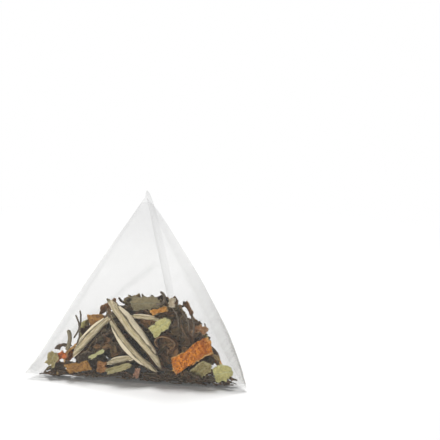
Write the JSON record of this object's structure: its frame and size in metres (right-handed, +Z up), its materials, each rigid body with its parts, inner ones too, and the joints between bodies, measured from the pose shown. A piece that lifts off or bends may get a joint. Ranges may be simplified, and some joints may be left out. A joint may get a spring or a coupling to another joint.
{
  "type": "pyramid tea bag",
  "caption": "See-through tetrahedral tea bag lying on one face, with whole-leaf white tea, silver buds and citrus peel inside.",
  "frame": {"origin": "on the table, under the middle of the bag's bounding box", "axes": "+X along the front seal, to the right seen from the front; +Y from the front seal to the back corner; +Z up"},
  "size_m": [0.0626, 0.0563, 0.0509],
  "materials": {
    "sheet": "fine see-through white mesh, matt, doubled and denser along its seals and seam",
    "silver": "downy silver-green young leaf with lengthwise streaks and a cream rim",
    "pale_green": "dry pale green leaf with faint veins",
    "olive": "dry olive leaf with lighter edges",
    "orange": "dried citrus peel, pitted, orange with pale cut edges",
    "gold": "dried golden-brown peel",
    "brown": "dry reddish-brown leaf",
    "cream": "dry cream-coloured fruit chip",
    "dark": "dark, wrinkled, twisted dry tea leaf",
    "crumbs": "packed dark crumbled leaf"
  },
  "bodies": {
    "root": {"bag": "sheet", "brown_leaf_right": "brown", "brown_peel_floor": "gold", "brown_peel_square": "brown", "cream_peel_top": "cream", "crumbled_tea": "crumbs", "cut_stem_left": "olive", "dark_leaf_left": "dark", "golden_peel_left": "gold", "grey_leaf_top": "olive", "hook_stem_top": "dark", "left_wall_bud_4": "silver", "left_wall_chip_3": "orange", "left_wall_leaf_2": "olive", "left_wall_leaf_6": "pale_green", "left_wall_leaf_8": "brown", "left_wall_stem_7": "dark", "left_wall_twist_1": "dark", "left_wall_twist_5": "dark", "olive_leaf_low": "olive", "olive_leaf_right": "olive", "orange_peel_large": "orange", "pale_leaf_middle": "pale_green", "pale_leaf_right": "pale_green", "pale_leaf_strip": "pale_green", "pink_peel_low": "cream", "red_peel_left": "orange", "right_wall_bud_4": "silver", "right_wall_chip_3": "orange", "right_wall_leaf_2": "olive", "right_wall_leaf_6": "pale_green", "right_wall_leaf_8": "brown", "right_wall_stem_7": "dark", "right_wall_twist_1": "dark", "right_wall_twist_5": "dark", "ring_leaf_middle": "brown", "silver_bud_left": "silver", "silver_bud_lower": "silver", "silver_bud_small": "silver", "silver_bud_top": "silver", "silver_bud_upper": "silver", "thin_stem_inner": "dark", "thin_stem_outer": "dark", "toothed_leaf_left": "olive", "twig_right_a": "dark", "twig_right_b": "dark", "twig_right_c": "dark", "twist_behind_buds": "dark", "twist_left_edge": "dark", "twist_left_middle": "dark", "twist_left_tip": "dark", "twist_left_top": "dark", "twist_low_left": "dark", "twist_low_middle": "dark", "twist_middle_top": "dark", "twist_right_edge": "dark", "twist_right_tip": "dark", "yellow_peel_top": "gold"}
  },
  "joints": []
}
